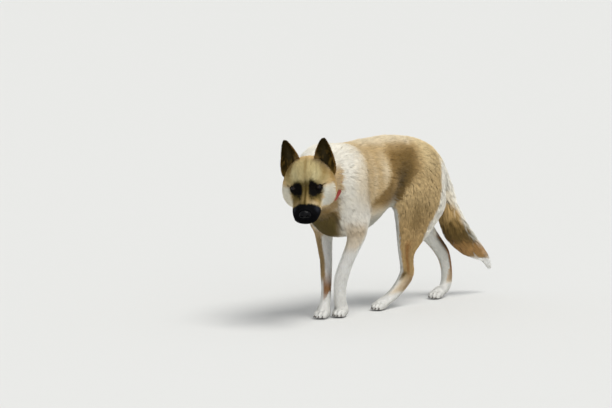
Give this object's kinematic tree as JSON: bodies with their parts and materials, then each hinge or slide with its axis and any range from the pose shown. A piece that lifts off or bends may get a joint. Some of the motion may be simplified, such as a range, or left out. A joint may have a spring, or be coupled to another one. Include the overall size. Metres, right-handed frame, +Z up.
{
  "type": "dog, mixed-breed shepherd kind, still life-size museum model",
  "caption": "Life-size still model of a prick-eared cream and tan shepherd-type dog in mid stride, head low and turned to its left, bushy tail down, dark mask, red collar.",
  "frame": {"origin": "middle of the bounding box on the floor, at the level of the soles", "axes": "+Z up; the dog stands along Y and faces -Y, and its left side is +X"},
  "size_m": [0.3014, 1.2156, 0.6526],
  "materials": {
    "coat": "soft dense fur, cream and tan with white and dark brown markings",
    "ears": "short dark fur",
    "eyes": "wet and shiny, dark brown",
    "nose": "moist black pebbled leather",
    "collar": "satin red"
  },
  "bodies": {
    "root": {"collar": "collar", "ear_left": "ears", "ear_right": "ears", "eye_left": "eyes", "eye_right": "eyes", "foreleg_left": "coat", "foreleg_right": "coat", "head": "coat", "hindleg_left": "coat", "hindleg_right": "coat", "neck": "coat", "nose": "nose", "paw_fore_left": "coat", "paw_fore_right": "coat", "paw_hind_left": "coat", "paw_hind_right": "coat", "tail": "coat", "trunk": "coat"}
  },
  "joints": []
}
